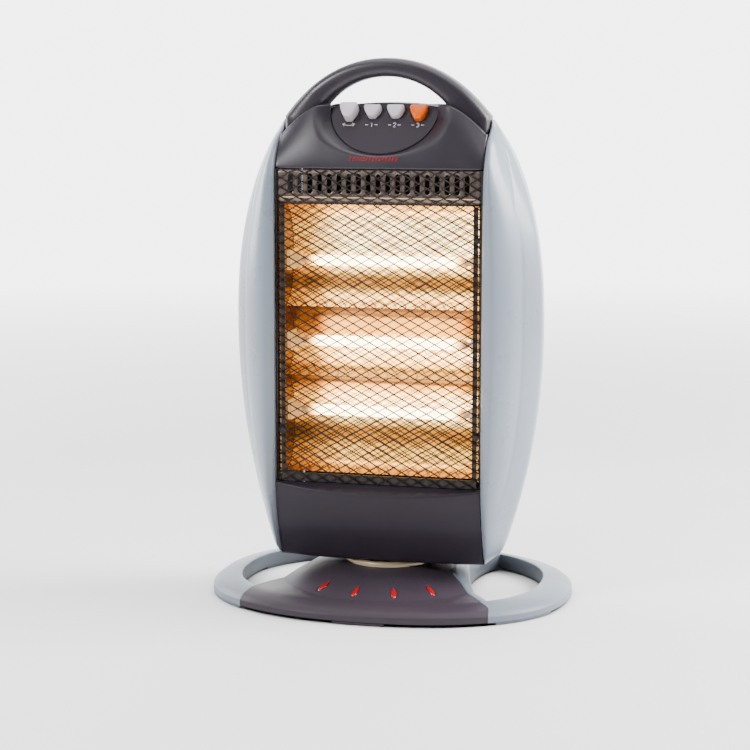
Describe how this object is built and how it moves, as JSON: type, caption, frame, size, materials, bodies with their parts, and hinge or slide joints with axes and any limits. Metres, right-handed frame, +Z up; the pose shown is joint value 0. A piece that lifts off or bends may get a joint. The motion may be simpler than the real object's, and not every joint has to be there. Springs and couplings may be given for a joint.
{
  "type": "halogen heater",
  "caption": "Upright radiant heater: quartz tubes in reflector troughs behind a mesh guard, in an oval body with a carry handle that swivels on an oval ring base.",
  "frame": {"origin": "middle of the oval base on the floor; the swivel's vertical axis stands 14.3 mm in front of it", "axes": "+Z up, -Y towards the heated room (front), +X to the right of someone who faces the front"},
  "size_m": [0.3798, 0.2982, 0.56],
  "materials": {
    "grey_plastic": "satin blue-grey painted plastic",
    "plum_plastic": "satin dark plum-grey moulded plastic",
    "console_plastic": "matt dark grey moulded plastic",
    "black_plastic": "matt black moulded plastic",
    "white_plastic": "glossy cool white moulded plastic",
    "orange_plastic": "glossy orange moulded plastic",
    "inner_plastic": "natural moulded plastic of the inner pieces",
    "red_lens": "glossy red moulded plastic",
    "collar_metal": "satin champagne metal",
    "steel": "zinc-plated steel",
    "dark_sheet": "dark brown heat-proof paint on steel",
    "vent_sheet": "grey galvanised sheet steel",
    "reflector_sheet": "polished aluminium reflector sheet",
    "quartz": "clear quartz tube with a glowing filament",
    "ceramic": "unglazed cream ceramic"
  },
  "bodies": {
    "base": {"base_ring": "grey_plastic", "base_cover": "plum_plastic", "base_inlay_1": "red_lens", "base_inlay_2": "red_lens", "base_inlay_3": "red_lens", "base_inlay_4": "red_lens", "ballast_plate": "steel", "foot_pad_1": "grey_plastic", "foot_pad_2": "plum_plastic", "foot_pad_3": "grey_plastic", "foot_pad_4": "grey_plastic", "foot_pad_5": "plum_plastic", "foot_pad_6": "grey_plastic", "tip_switch": "inner_plastic", "swivel_collar": "collar_metal", "drive_plate": "steel"},
    "head": {"pivot_tube": "steel", "pivot_washer": "steel", "pivot_nut": "steel", "swivel_motor": "steel", "body_floor": "black_plastic", "terminal_block": "inner_plastic", "left_side_cover": "grey_plastic", "right_side_cover": "grey_plastic", "upper_front_panel": "plum_plastic", "lower_front_panel": "plum_plastic", "rear_panel": "plum_plastic", "rear_screw_1": "steel", "rear_screw_2": "steel", "rear_screw_3": "steel", "rear_screw_4": "steel", "cord_inlet": "black_plastic", "carry_handle": "plum_plastic", "control_console": "console_plastic", "switch_block": "inner_plastic", "mesh_guard": "dark_sheet", "guard_frame": "dark_sheet", "vent_plate": "vent_sheet", "reflector_1": "reflector_sheet", "reflector_2": "reflector_sheet", "reflector_3": "reflector_sheet", "left_end_plate": "vent_sheet", "right_end_plate": "vent_sheet", "halogen_tube_1": "quartz", "left_tube_cap_1": "ceramic", "right_tube_cap_1": "ceramic", "halogen_tube_2": "quartz", "left_tube_cap_2": "ceramic", "right_tube_cap_2": "ceramic", "halogen_tube_3": "quartz", "left_tube_cap_3": "ceramic", "right_tube_cap_3": "ceramic", "thermal_cutout": "steel"},
    "crank": {"crank_disc": "inner_plastic"},
    "tip_foot": {"tip_plunger": "black_plastic"},
    "swing_key": {"swing_button": "white_plastic"},
    "heat_key_1": {"heat_button_1": "white_plastic"},
    "heat_key_2": {"heat_button_2": "white_plastic"},
    "heat_key_3": {"heat_button_3": "orange_plastic"}
  },
  "joints": [
    {"name": "swivel", "type": "hinge", "parent": "base", "child": "head", "pos_m": [0, -0.0143, 0.04], "axis": [0, 0, 1], "range_deg": [-30, 30]},
    {"name": "crank_turn", "type": "hinge", "parent": "head", "child": "crank", "pos_m": [0.0235, -0.0143, 0.041], "axis": [0, 0, 1], "range_deg": [-90, 90]},
    {"name": "tip_foot_drop", "type": "slide", "parent": "base", "child": "tip_foot", "axis": [0, 0, -1], "range_m": [0, 0.006], "stiffness_N_per_m": 50, "springref_m": 0.006},
    {"name": "swing_key_press", "type": "slide", "parent": "head", "child": "swing_key", "axis": [0, 0.8604, -0.5096], "range_m": [0, 0.0045], "stiffness_N_per_m": 300},
    {"name": "heat_key_1_press", "type": "slide", "parent": "head", "child": "heat_key_1", "axis": [0, 0.8604, -0.5096], "range_m": [-0.0045, 0]},
    {"name": "heat_key_2_press", "type": "slide", "parent": "head", "child": "heat_key_2", "axis": [0, 0.8604, -0.5096], "range_m": [-0.0045, 0]},
    {"name": "heat_key_3_press", "type": "slide", "parent": "head", "child": "heat_key_3", "axis": [0, 0.8604, -0.5096], "range_m": [-0.0045, 0]}
  ],
  "couplings": [
    {"joint": "crank_turn", "follows": "swivel", "ratio": -3}
  ]
}
